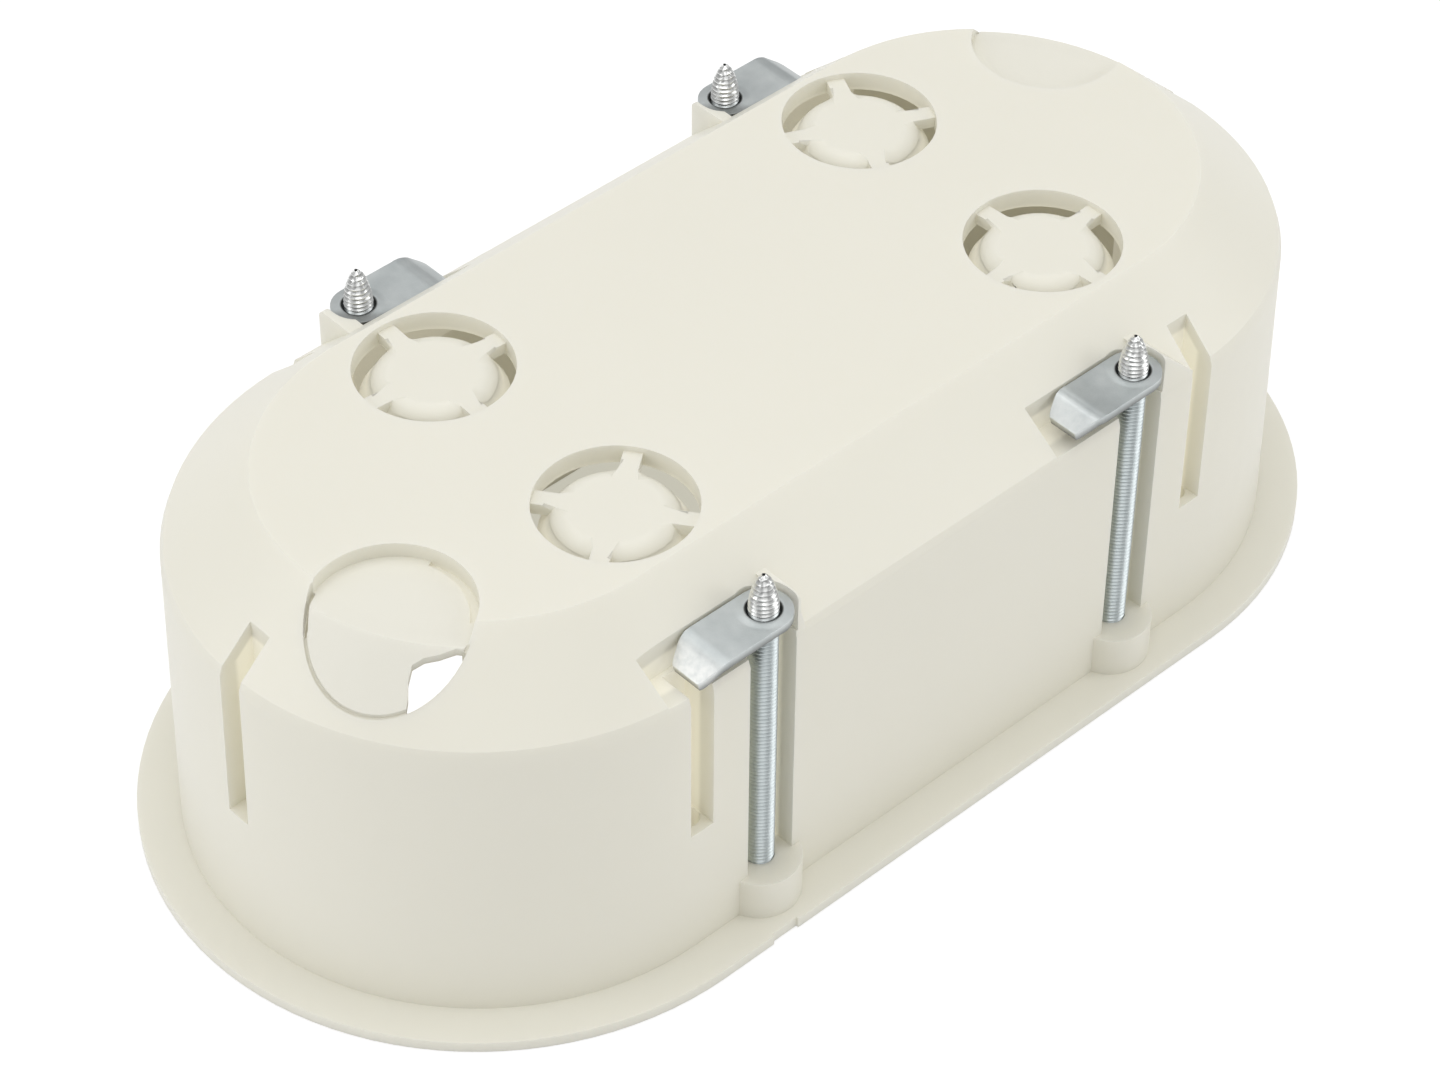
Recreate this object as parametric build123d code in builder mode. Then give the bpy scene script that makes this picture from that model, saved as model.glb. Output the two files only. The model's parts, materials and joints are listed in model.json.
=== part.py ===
# Double flush mounting box for hollow walls, standing mouth down on its flange.
# All sizes in millimetres. X runs along the length, Y across, Z from the mouth to the back.
import math
import os

from build123d import *

os.makedirs("parts", exist_ok=True)

# Overall form
flange_length = 146.7
flange_width = 74.0
flange_thickness = 1.3
foot_length = 137.6
foot_width = 65.0
shoulder_length = 135.8
shoulder_width = 64.9
back_width = 46.0
box_height = 45.9
slope_rise = 8.9
wall = 2.0
back_plate = 2.25
band_drop = 0.7
band_rise = 0.35

# Device screw posts: two gangs side by side, screws 60 apart in each
gang_pitch = 71.0
device_screw_spacing = 60.0
post_recess = 0.8
post_width = 6.6
post_depth = 6.2
groove_width = 3.0
groove_inset = 4.2
groove_foot = 17.8
device_pilot_radius = 1.45

# Claw screws, their bosses, channels and pockets
claw_screw_x = 26.1
claw_screw_y = 30.9
screw_radius = 1.55
running_gap = 0.05
boss_radius = 4.5
boss_height = 6.3
head_radius = 2.7
head_thickness = 2.0
head_recess = 0.5
channel_width = 6.2
channel_floor_y = 27.7
pocket_depth = 8.7
pocket_reach_left = 13.9
pocket_reach_right = 12.8
pocket_ramp = 0.6
pocket_radius = 3.3
block_skin = 1.5
lug_sink = 4.0
lug_depth = 6.0
lug_start = 2.3
lug_round = 0.8
lug_far_left = 4.15
lug_far_right = 3.65

# Claws
claw_sink = 4.7
claw_thickness = 1.0
claw_half_width = 3.0
claw_bend = 7.9
claw_reach = 10.2
claw_drop = 1.95
claw_tip_half_width = 1.85
claw_lip = 1.2
screw_tip_sink = 0.1
screw_point = 3.6

# Knockouts in the back plate and at the ends
knockout_radius = 8.42
knockout_x = 30.0
knockout_margin = 9.2
end_knockout_turn = 26.65
end_knockout_margin = 0.9
disc_drop = 0.7
disc_top_radius = 5.7
disc_rim_radius = 7.75
disc_depth = 3.0
disc_thickness = 1.5
tab_width = 2.0
tab_thickness = 1.3
end_recess = 1.75
end_skin = 0.8
relief_radius = 8.05
rim_groove_width = 0.36
rim_groove_depth = 0.45
slit_width = 0.5
step_gap = 0.95
step_depth = 0.45

# A small nick in the near edge of the flange
nick_x = -27.9
nick_width = 3.4
nick_depth = 0.3

# Derived sizes
shoulder_height = box_height - slope_rise
slope_start = shoulder_width / 2
slope_run = (shoulder_width - back_width) / 2
end_centre = (shoulder_length - shoulder_width) / 2
slope_angle = math.degrees(math.atan2(slope_run, slope_rise))
slope_length = math.hypot(slope_run, slope_rise)
slope_drop = wall * slope_length / slope_run
band_inset = band_rise * slope_run / slope_rise
band_angle = math.degrees(math.atan2(band_inset, band_drop + band_rise))
ceiling = box_height - back_plate
inner_width = foot_width - 2 * wall
inner_length = (foot_length + shoulder_length) / 2 - 2 * wall
inner_shoulder_height = shoulder_height + wall * slope_rise / slope_run - slope_drop
post_x = gang_pitch / 2
post_y = device_screw_spacing / 2
end_post_x = post_x + post_y
groove_inner = slope_start - groove_inset
end_groove_inner = shoulder_length / 2 - groove_inset
post_inner = groove_inner - (post_depth - groove_inset)
end_post_inner = end_groove_inner - (post_depth - groove_inset)
post_outer = slope_start - wall / 3
end_post_outer = shoulder_length / 2 - wall / 3
block_inner = channel_floor_y - block_skin
pocket_floor = box_height - pocket_depth
channel_top = pocket_floor + 0.5
lug_top = box_height - lug_sink
claw_top = box_height - claw_sink
screw_tip = box_height - screw_tip_sink
bore_radius = screw_radius + running_gap
counterbore_depth = head_recess + head_thickness
head_room = head_radius + 0.4
knockout_y = back_width / 2 - knockout_margin
end_knockout_run = back_width / 2 - end_knockout_margin
end_knockout_x = end_centre + end_knockout_run * math.cos(math.radians(end_knockout_turn))
end_knockout_y = end_knockout_run * math.sin(math.radians(end_knockout_turn))
relief_out = (end_recess / slope_rise) * slope_run
relief_x = relief_out * math.cos(math.radians(end_knockout_turn))
relief_y = relief_out * math.sin(math.radians(end_knockout_turn))


def under_slope(distance):
    """Height of a line one millimetre below the sloped back, that far from the middle line."""
    return shoulder_height + (slope_start - distance) * slope_rise / slope_run - 1.0


# Outer form without the flange: drafted wall, soft shoulder band, sloped back
with BuildPart() as outer_form:
    with BuildSketch():
        SlotOverall(foot_length, foot_width)
    with BuildSketch(Plane.XY.offset(shoulder_height - band_drop)):
        SlotOverall(shoulder_length, 2 * slope_start)
    loft(ruled=True)
    with BuildSketch(Plane.XY.offset(shoulder_height - band_drop)):
        SlotOverall(shoulder_length, 2 * slope_start)
    extrude(amount=band_drop + band_rise, taper=band_angle)
    with BuildSketch(Plane.XY.offset(shoulder_height + band_rise)):
        SlotOverall(shoulder_length - 2 * band_inset, 2 * (slope_start - band_inset))
    extrude(amount=slope_rise - band_rise, taper=slope_angle)

# Sloped back by itself, used to sink the end knockouts
with BuildPart() as slope_form:
    with BuildSketch(Plane.XY.offset(shoulder_height - slope_rise / 4)):
        SlotOverall(shoulder_length + slope_run / 2, 2 * slope_start + slope_run / 2)
    extrude(amount=slope_rise * 1.25, taper=slope_angle)

# Hollow inside, following the same shape one wall further in
with BuildPart() as cavity:
    with BuildSketch():
        SlotOverall(inner_length, inner_width)
    extrude(amount=inner_shoulder_height)
    with BuildSketch(Plane.XY.offset(inner_shoulder_height)):
        SlotOverall(inner_length, inner_width)
    extrude(amount=ceiling - inner_shoulder_height, taper=slope_angle)

# Posts and channel blocks that stand inside the walls
with BuildPart() as near_blocks:
    with BuildSketch(Plane.YZ.offset(-post_x), Plane.YZ.offset(post_x)):
        Polygon(
            (-post_inner, post_recess),
            (-post_inner, under_slope(post_inner)),
            (-post_outer, under_slope(post_outer)),
            (-post_outer, post_recess),
            align=None,
        )
    extrude(amount=post_width / 2, both=True)
    with BuildSketch(Plane.XZ):
        Polygon(
            (end_post_inner, post_recess),
            (end_post_inner, under_slope(post_inner)),
            (end_post_outer, under_slope(post_outer)),
            (end_post_outer, post_recess),
            align=None,
        )
    extrude(amount=post_width / 2, both=True)
    with BuildSketch(Plane.YZ.offset(-claw_screw_x), Plane.YZ.offset(claw_screw_x)):
        Polygon(
            (-block_inner, 0),
            (-block_inner, under_slope(block_inner)),
            (-post_outer, under_slope(post_outer)),
            (-post_outer, 0),
            align=None,
        )
    extrude(amount=channel_width / 2 + block_skin, both=True)
    with BuildSketch(
        Plane.YZ.offset(-claw_screw_x - pocket_reach_left - block_skin),
        Plane.YZ.offset(claw_screw_x - pocket_reach_left - block_skin),
    ):
        Polygon(
            (-block_inner, pocket_floor - block_skin),
            (-block_inner, under_slope(block_inner)),
            (-post_outer, under_slope(post_outer)),
            (-post_outer, pocket_floor - block_skin),
            align=None,
        )
    extrude(amount=pocket_reach_left + pocket_radius + 2 * block_skin)

# Claw pockets and screw channels on the near side
with BuildPart() as near_cuts:
    with BuildSketch(Plane.XZ.offset(channel_floor_y)):
        for screw_x, reach in ((-claw_screw_x, pocket_reach_left), (claw_screw_x, pocket_reach_right)):
            with Locations((screw_x, 0)):
                Polygon(
                    (0, pocket_floor),
                    (pocket_ramp - reach, pocket_floor),
                    (-reach, lug_top),
                    (-reach, box_height + 1.0),
                    (0, box_height + 1.0),
                    align=None,
                )
    extrude(amount=boss_radius * 2)
    with BuildSketch(Plane.XY.offset(pocket_floor)):
        with Locations((-claw_screw_x, -claw_screw_y), (claw_screw_x, -claw_screw_y)):
            Circle(pocket_radius)
            Rectangle(pocket_radius, boss_radius * 2, align=(Align.MIN, Align.MAX))
    extrude(amount=box_height - pocket_floor + 1.0)
    with BuildSketch(Plane.XY.offset(boss_height)):
        with Locations((-claw_screw_x, -channel_floor_y), (claw_screw_x, -channel_floor_y)):
            Rectangle(channel_width, boss_radius * 2, align=(Align.CENTER, Align.MAX))
    extrude(amount=channel_top - boss_height)

# Lugs that stop the claws: they rise beside the rounded end of each pocket, under one profile
with BuildPart() as lug_band:
    with BuildSketch(Plane.YZ) as lug_side:
        with Locations((0.1 - slope_start, lug_top)):
            Rectangle(slope_run - slope_rise / 3, lug_depth, align=(Align.MIN, Align.MAX))
        outer_corner = lug_side.vertices().sort_by(Axis.X)[:2].sort_by(Axis.Y)[-1:]
        fillet(outer_corner, lug_round)
    extrude(amount=end_centre + 5.0, both=True)

# On the near side the left lug leans back and the right one falls away to the next groove
with BuildPart() as near_lugs:
    with BuildSketch(Plane.XZ.offset(back_width / 2)):
        with Locations((-claw_screw_x, lug_top)):
            Polygon(
                (lug_start, -lug_depth),
                (lug_start, 0),
                (3.5, 0),
                (3.7, -2.6),
                (4.4, -5.1),
                (4.4, -lug_depth),
                align=None,
            )
        with Locations((claw_screw_x, lug_top)):
            Polygon(
                (lug_start, -lug_depth),
                (lug_start, 0),
                (3.4, 0),
                (7.9, -4.5),
                (7.9, -lug_depth),
                align=None,
            )
    extrude(amount=slope_run)
    add(lug_band.part, mode=Mode.INTERSECT)
    add(cavity.part, mode=Mode.SUBTRACT)

# On the far side both stand upright; drawn on the near side and turned round below
with BuildPart() as far_lugs:
    with BuildSketch(Plane.XZ.offset(back_width / 2)):
        with Locations((claw_screw_x + lug_start, lug_top)):
            Rectangle(lug_far_left - lug_start, lug_depth, align=(Align.MIN, Align.MAX))
        with Locations((lug_start - claw_screw_x, lug_top)):
            Rectangle(lug_far_right - lug_start, lug_depth, align=(Align.MIN, Align.MAX))
    extrude(amount=slope_run)
    add(lug_band.part, mode=Mode.INTERSECT)
    add(cavity.part, mode=Mode.SUBTRACT)

# Grooves behind the device screws, open outwards and upwards
with BuildPart() as near_grooves:
    with BuildSketch(Plane.XY.offset(groove_foot)):
        with Locations((-post_x, -groove_inner), (post_x, -groove_inner)):
            Rectangle(groove_width, groove_inset * 2, align=(Align.CENTER, Align.MAX))
        with Locations((end_groove_inner, 0)):
            Rectangle(groove_inset * 2, groove_width, align=(Align.MIN, Align.CENTER))
    extrude(amount=box_height - groove_foot + 1.0)

# Fine groove that rings each end knockout where it lies in the slope
with BuildPart() as rim_groove:
    with BuildSketch(Plane.XY.offset(shoulder_height)):
        with Locations((-end_knockout_x, -end_knockout_y)):
            Circle(knockout_radius + rim_groove_width / 2)
            Circle(knockout_radius - rim_groove_width / 2, mode=Mode.SUBTRACT)
    extrude(amount=box_height - end_recess + 0.2 - shoulder_height)
    add(slope_form.part.moved(Location((0, 0, -rim_groove_depth))), mode=Mode.SUBTRACT)

# Thick ring around each end knockout, and the relief that thins its skin from inside
with BuildPart() as end_ring:
    with BuildSketch(Plane.XY.offset(box_height - end_recess - end_skin)):
        with Locations((-end_knockout_x, -end_knockout_y)):
            Circle(knockout_radius + end_skin)
    extrude(amount=end_recess)
    add(slope_form.part.moved(Location((0, 0, -rim_groove_depth))), mode=Mode.INTERSECT)

with BuildPart() as end_relief:
    with BuildSketch(Plane.XY.offset(shoulder_height - wall)):
        with Locations((-end_knockout_x, -end_knockout_y)):
            Circle(relief_radius)
    extrude(amount=box_height)
    sunk = Location((-relief_x, -relief_y, -end_recess - end_skin))
    add(slope_form.part.moved(sunk), mode=Mode.INTERSECT)

# Broken corner and open slit of the near end knockout
with BuildPart() as torn_corner:
    with BuildSketch(Plane.XY.offset(shoulder_height - 8.0)):
        with Locations((-end_knockout_x, -end_knockout_y)):
            Polygon(
                (3.0, -8.69),
                (1.8, -7.39),
                (0.34, -6.52),
                (-0.79, -5.63),
                (-1.89, -5.14),
                (-2.9, -5.69),
                (-3.71, -6.58),
                (-4.6, -7.19),
                (-2.8, -10.09),
                align=None,
            )
            Circle(knockout_radius + rim_groove_width / 4, mode=Mode.INTERSECT)
    extrude(amount=box_height - shoulder_height + 12.0)

with BuildPart() as slit:
    with BuildSketch(Plane.XY.offset(shoulder_height - 8.0)):
        with Locations((-end_knockout_x, -end_knockout_y)):
            SlotArc(CenterArc((0, 0), knockout_radius - 0.05, 116, 24), slit_width)
    extrude(amount=box_height - shoulder_height + 12.0)

# Where that knockout has shifted, a crescent step opens beside it in the flat back
with BuildPart() as crescent_step:
    with BuildSketch(Plane.XY.offset(box_height - end_recess - step_depth)):
        with Locations((-end_knockout_x, -end_knockout_y)):
            Circle(knockout_radius)
            with Locations((-step_gap * math.cos(math.radians(30)), step_gap / 2)):
                Circle(knockout_radius, mode=Mode.SUBTRACT)
            Polygon(
                (0, 0),
                (7.4, -8.4),
                (12.0, -2.0),
                (10.0, 4.4),
                align=None,
                mode=Mode.INTERSECT,
            )
    extrude(amount=step_depth + end_recess / 2)

# One knockout disc, a shallow dish
with BuildPart() as disc:
    with BuildSketch(Plane.XZ):
        Polygon(
            (0, 0),
            (disc_top_radius + 0.2, 0),
            (disc_rim_radius, -disc_depth),
            (disc_rim_radius - 1.3, -disc_depth),
            (disc_rim_radius - 1.3, -disc_thickness),
            (0, -disc_thickness),
            align=None,
        )
    revolve(axis=Axis.Z)

# The moulded box
with BuildPart() as box_shell:
    add(outer_form.part)
    add(cavity.part, mode=Mode.SUBTRACT)
    add(near_blocks.part)
    add(near_blocks.part, rotation=(0, 0, 180))
    with BuildSketch():
        SlotOverall(flange_length, flange_width)
        SlotOverall(foot_length - 2, foot_width - 2, mode=Mode.SUBTRACT)
        with Locations((nick_x, -flange_width / 2)):
            Rectangle(nick_width, 2 * nick_depth, mode=Mode.SUBTRACT)
    extrude(amount=flange_thickness)
    with BuildSketch():
        with GridLocations(2 * claw_screw_x, 2 * claw_screw_y, 2, 2):
            Circle(boss_radius)
    extrude(amount=boss_height)

    # Lugs, then the pockets, channels and grooves on both long sides
    add(near_lugs.part)
    add(far_lugs.part, rotation=(0, 0, 180))
    add(near_cuts.part, mode=Mode.SUBTRACT)
    add(near_cuts.part, rotation=(0, 0, 180), mode=Mode.SUBTRACT)
    add(near_grooves.part, mode=Mode.SUBTRACT)
    add(near_grooves.part, rotation=(0, 0, 180), mode=Mode.SUBTRACT)

    # Screw holes from the mouth side
    with BuildSketch():
        with GridLocations(2 * claw_screw_x, 2 * claw_screw_y, 2, 2):
            Circle(bore_radius)
    extrude(amount=boss_height + 1.0, mode=Mode.SUBTRACT)
    with BuildSketch():
        with GridLocations(2 * claw_screw_x, 2 * claw_screw_y, 2, 2):
            Circle(head_room)
    extrude(amount=counterbore_depth, mode=Mode.SUBTRACT)
    with BuildSketch():
        with GridLocations(gang_pitch, device_screw_spacing, 2, 2):
            Circle(device_pilot_radius)
        with GridLocations(2 * end_post_x, 0, 2, 1):
            Circle(device_pilot_radius)
    extrude(amount=groove_foot + 1.0, mode=Mode.SUBTRACT)

    # Knockouts in the back plate: hole, dished disc and four bridging tabs each
    with BuildSketch(Plane.XY.offset(ceiling - 1.0)):
        with GridLocations(2 * knockout_x, 2 * knockout_y, 2, 2):
            Circle(knockout_radius)
    extrude(amount=back_plate + 2.0, mode=Mode.SUBTRACT)
    with Locations(Plane.XY.offset(box_height - disc_drop)):
        with GridLocations(2 * knockout_x, 2 * knockout_y, 2, 2):
            add(disc.part)
    with BuildSketch(Plane.XY.offset(box_height - disc_drop - tab_thickness)):
        for cx, cy, turn in (
            (-knockout_x, knockout_y, -4),
            (knockout_x, -knockout_y, 3),
            (-knockout_x, -knockout_y, 36),
            (knockout_x, knockout_y, 64),
        ):
            with Locations((cx, cy)):
                with PolarLocations(disc_top_radius, 4, start_angle=turn):
                    Rectangle(
                        knockout_radius - disc_top_radius + 0.4,
                        tab_width,
                        align=(Align.MIN, Align.CENTER),
                    )
    extrude(amount=tab_thickness)

    # Knockouts at the ends: sunk below the back, level with the slope, ringed by the groove
    add(end_ring.part)
    add(end_ring.part, rotation=(0, 0, 180))
    with BuildSketch(Plane.XY.offset(box_height - end_recess)):
        with Locations((-end_knockout_x, -end_knockout_y), (end_knockout_x, end_knockout_y)):
            Circle(knockout_radius)
    extrude(amount=end_recess + 1.0, mode=Mode.SUBTRACT)
    add(crescent_step.part, mode=Mode.SUBTRACT)
    add(end_relief.part, mode=Mode.SUBTRACT)
    add(end_relief.part, rotation=(0, 0, 180), mode=Mode.SUBTRACT)
    add(rim_groove.part, mode=Mode.SUBTRACT)
    add(rim_groove.part, rotation=(0, 0, 180), mode=Mode.SUBTRACT)
    add(torn_corner.part, mode=Mode.SUBTRACT)
    add(slit.part, mode=Mode.SUBTRACT)
box_shell.part.label = "box_shell"
export_step(box_shell.part, "parts/box_shell.step")

# One claw screw: sunk pan head, long shaft, rounded point
point_start = screw_tip - screw_point
with BuildPart() as claw_screw:
    with BuildSketch(Plane.XZ):
        Polygon(
            (0, head_recess),
            (head_radius, head_recess),
            (head_radius, counterbore_depth),
            (screw_radius, counterbore_depth),
            (screw_radius, point_start),
            (screw_radius * 0.65, screw_tip - screw_point / 2),
            (screw_radius * 0.2, screw_tip),
            (0, screw_tip),
            align=None,
        )
    revolve(axis=Axis.Z)
    with BuildSketch(Plane.XY.offset(head_recess)):
        Rectangle(3.4, 0.8)
        Rectangle(0.8, 3.4)
    extrude(amount=1.2, mode=Mode.SUBTRACT)

# One claw with its screw axis at the origin, arm along minus X
with BuildPart() as claw_form:
    with BuildSketch(Plane.XZ):
        Polygon(
            (claw_half_width, claw_top),
            (-claw_bend, claw_top),
            (-claw_reach, claw_top - claw_drop),
            (-claw_reach, claw_top - claw_drop - claw_lip),
            (0.4 - claw_bend, claw_top - claw_thickness),
            (claw_half_width, claw_top - claw_thickness),
            align=None,
        )
    extrude(amount=claw_half_width, both=True)
    with BuildSketch(Plane.XY.offset(claw_top - claw_drop - 3.0)):
        Circle(claw_half_width)
        Polygon(
            (0, claw_half_width),
            (-claw_bend, claw_half_width),
            (-claw_reach, claw_tip_half_width),
            (-claw_reach, -claw_tip_half_width),
            (-claw_bend, -claw_half_width),
            (0, -claw_half_width),
            align=None,
        )
    extrude(amount=claw_drop + 4.0, mode=Mode.INTERSECT)
    with BuildSketch(Plane.XY.offset(claw_top - 4.0)):
        Circle(bore_radius)
    extrude(amount=5.0, mode=Mode.SUBTRACT)

with BuildPart() as claw_screw_near_left:
    with Locations((-claw_screw_x, -claw_screw_y)):
        add(claw_screw.part)
claw_screw_near_left.part.label = "claw_screw_near_left"
export_step(claw_screw_near_left.part, "parts/claw_screw_near_left.step")

with BuildPart() as claw_screw_near_right:
    with Locations((claw_screw_x, -claw_screw_y)):
        add(claw_screw.part)
claw_screw_near_right.part.label = "claw_screw_near_right"
export_step(claw_screw_near_right.part, "parts/claw_screw_near_right.step")

with BuildPart() as claw_screw_far_left:
    with Locations((-claw_screw_x, claw_screw_y)):
        add(claw_screw.part)
claw_screw_far_left.part.label = "claw_screw_far_left"
export_step(claw_screw_far_left.part, "parts/claw_screw_far_left.step")

with BuildPart() as claw_screw_far_right:
    with Locations((claw_screw_x, claw_screw_y)):
        add(claw_screw.part)
claw_screw_far_right.part.label = "claw_screw_far_right"
export_step(claw_screw_far_right.part, "parts/claw_screw_far_right.step")

with BuildPart() as claw_near_left:
    with Locations((-claw_screw_x, -claw_screw_y)):
        add(claw_form.part)
claw_near_left.part.label = "claw_near_left"
export_step(claw_near_left.part, "parts/claw_near_left.step")

with BuildPart() as claw_near_right:
    with Locations((claw_screw_x, -claw_screw_y)):
        add(claw_form.part)
claw_near_right.part.label = "claw_near_right"
export_step(claw_near_right.part, "parts/claw_near_right.step")

# The claws on the far side point the other way
with BuildPart() as claw_far_left:
    with Locations((-claw_screw_x, claw_screw_y)):
        add(claw_form.part, rotation=(0, 0, 180))
claw_far_left.part.label = "claw_far_left"
export_step(claw_far_left.part, "parts/claw_far_left.step")

with BuildPart() as claw_far_right:
    with Locations((claw_screw_x, claw_screw_y)):
        add(claw_form.part, rotation=(0, 0, 180))
claw_far_right.part.label = "claw_far_right"
export_step(claw_far_right.part, "parts/claw_far_right.step")
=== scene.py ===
# %% [markdown]
# # A double flush mounting box for hollow walls
#
# The box is one warm off-white moulding that stands mouth down on its flange. Four long zinc
# screws run up its sides, and each carries a pressed steel claw. The CAD frame gives every
# solid its size and place, so this lesson only adds what a drawing leaves out: real threads,
# soft edges, and the finish of each material.

# %% Load the frame
import json
import math

import bpy
from mathutils import Matrix, Vector

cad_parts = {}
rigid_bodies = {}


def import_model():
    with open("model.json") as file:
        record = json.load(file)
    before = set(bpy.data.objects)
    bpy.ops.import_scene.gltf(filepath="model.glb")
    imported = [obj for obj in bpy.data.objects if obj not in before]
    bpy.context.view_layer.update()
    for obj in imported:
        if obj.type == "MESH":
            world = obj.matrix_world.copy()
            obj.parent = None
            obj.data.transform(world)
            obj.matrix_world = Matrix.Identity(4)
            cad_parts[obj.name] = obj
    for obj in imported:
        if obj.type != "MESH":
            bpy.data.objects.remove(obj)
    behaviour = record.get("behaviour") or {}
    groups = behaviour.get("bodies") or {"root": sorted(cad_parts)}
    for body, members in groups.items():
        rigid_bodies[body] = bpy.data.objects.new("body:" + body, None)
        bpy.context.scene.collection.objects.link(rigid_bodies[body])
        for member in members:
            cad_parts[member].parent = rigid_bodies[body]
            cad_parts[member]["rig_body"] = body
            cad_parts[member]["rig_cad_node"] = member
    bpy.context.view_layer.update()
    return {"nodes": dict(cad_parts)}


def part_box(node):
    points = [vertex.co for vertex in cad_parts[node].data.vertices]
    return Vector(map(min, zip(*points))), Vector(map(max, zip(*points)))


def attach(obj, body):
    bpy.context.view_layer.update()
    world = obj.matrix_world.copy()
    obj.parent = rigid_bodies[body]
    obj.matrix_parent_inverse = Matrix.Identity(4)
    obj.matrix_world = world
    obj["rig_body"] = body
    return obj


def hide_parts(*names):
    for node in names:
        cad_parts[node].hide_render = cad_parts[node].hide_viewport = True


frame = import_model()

MM = 0.001
MERGE_DISTANCE = 0.002 * MM
FLAT_ANGLE = math.radians(0.5)
print("nodes:", sorted(frame["nodes"]))

# %% [markdown]
# ## Small helpers
#
# An operator in Blender acts on whatever is selected, so each step starts by clearing the
# selection. In edit mode the points to work on are picked by their place, as a hand would.

# %% Selection helpers
def clear_selection():
    if bpy.context.object and bpy.context.object.mode != "OBJECT":
        bpy.ops.object.mode_set(mode="OBJECT")
    bpy.ops.object.select_all(action="DESELECT")


def make_active(piece):
    clear_selection()
    piece.select_set(True)
    bpy.context.view_layer.objects.active = piece


def select_points(piece, keep):
    """Leaves the piece in edit mode, with only the points picked that keep(co, index) wants."""
    bpy.ops.object.mode_set(mode="EDIT")
    bpy.ops.mesh.select_mode(type="VERT")
    bpy.ops.mesh.select_all(action="DESELECT")
    bpy.ops.object.mode_set(mode="OBJECT")
    for point in piece.data.vertices:
        point.select = bool(keep(point.co, point.index))
    bpy.ops.object.mode_set(mode="EDIT")


def apply_all(piece):
    make_active(piece)
    for modifier in list(piece.modifiers):
        bpy.ops.object.modifier_apply(modifier=modifier.name)


def settle(piece):
    """Puts the object at the origin, unturned and unscaled, with its place in its mesh."""
    make_active(piece)
    bpy.ops.object.transform_apply(location=True, rotation=True, scale=True)


def copy_of_node(node, name, flatten=True):
    """A merged copy of a CAD node without its stored normals; flatten joins its flat triangles."""
    piece = frame["nodes"][node].copy()
    piece.data = frame["nodes"][node].data.copy()
    piece.name = name
    piece.data.name = name
    piece.parent = None
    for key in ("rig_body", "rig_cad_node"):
        if key in piece:
            del piece[key]
    bpy.context.scene.collection.objects.link(piece)
    make_active(piece)
    bpy.ops.mesh.customdata_custom_splitnormals_clear()
    bpy.ops.object.mode_set(mode="EDIT")
    bpy.ops.mesh.select_all(action="SELECT")
    bpy.ops.mesh.remove_doubles(threshold=MERGE_DISTANCE)
    if flatten:
        bpy.ops.mesh.dissolve_limited(angle_limit=FLAT_ANGLE)
    bpy.ops.object.mode_set(mode="OBJECT")
    return piece


# %% [markdown]
# ## The camera
#
# The picture was taken with a long lens from the front left, looking down at about 43 degrees.
# A fit of the box's known sizes to the photograph gives the place and the lens of the camera.

# %% Camera
camera_right = Vector((0.733763, -0.679376, 0.006309))
camera_down = Vector((-0.46311, -0.506936, -0.727011))
camera_forward = Vector((0.497112, 0.530532, -0.686596))
camera_place = Vector((-234.1695, -246.6902, 333.3851)) * MM
camera_data = bpy.data.cameras.new("photo_camera")
camera = bpy.data.objects.new("photo_camera", camera_data)
bpy.context.scene.collection.objects.link(camera)
camera_data.sensor_width = 36.0
camera_data.lens = 107.977
camera_data.clip_start = 0.01
camera_data.clip_end = 20.0
turn = Matrix((camera_right, -camera_down, -camera_forward)).transposed().to_4x4()
camera.matrix_world = Matrix.Translation(camera_place) @ turn
bpy.context.scene.camera = camera
bpy.context.scene.view_settings.view_transform = "Standard"

# %% [markdown]
# ## Shared looks
#
# A moulding is never quite even: its colour drifts a little, and its gloss is broken by a fine
# spark texture from the tool. One node group holds that drift, and each material sets how
# strong it is.

# %% Shared node groups
def new_group(name, inputs, outputs):
    group = bpy.data.node_groups.new(name, "ShaderNodeTree")
    for label, kind, default in inputs:
        socket = group.interface.new_socket(name=label, in_out="INPUT", socket_type=kind)
        socket.default_value = default
    for label, kind in outputs:
        group.interface.new_socket(name=label, in_out="OUTPUT", socket_type=kind)
    source = group.nodes.new("NodeGroupInput")
    sink = group.nodes.new("NodeGroupOutput")
    return group, source, sink


def colour_mix(nodes, links, factor, first, second):
    """Mix of two colours by a socket; each colour is a socket or a tuple of three numbers."""
    node = nodes.new("ShaderNodeMix")
    node.data_type = "RGBA"
    links.new(factor, node.inputs["Factor"])
    for label, value in (("A", first), ("B", second)):
        if isinstance(value, tuple):
            node.inputs[label].default_value = (*value, 1)
        else:
            links.new(value, node.inputs[label])
    return node.outputs["Result"]


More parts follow.
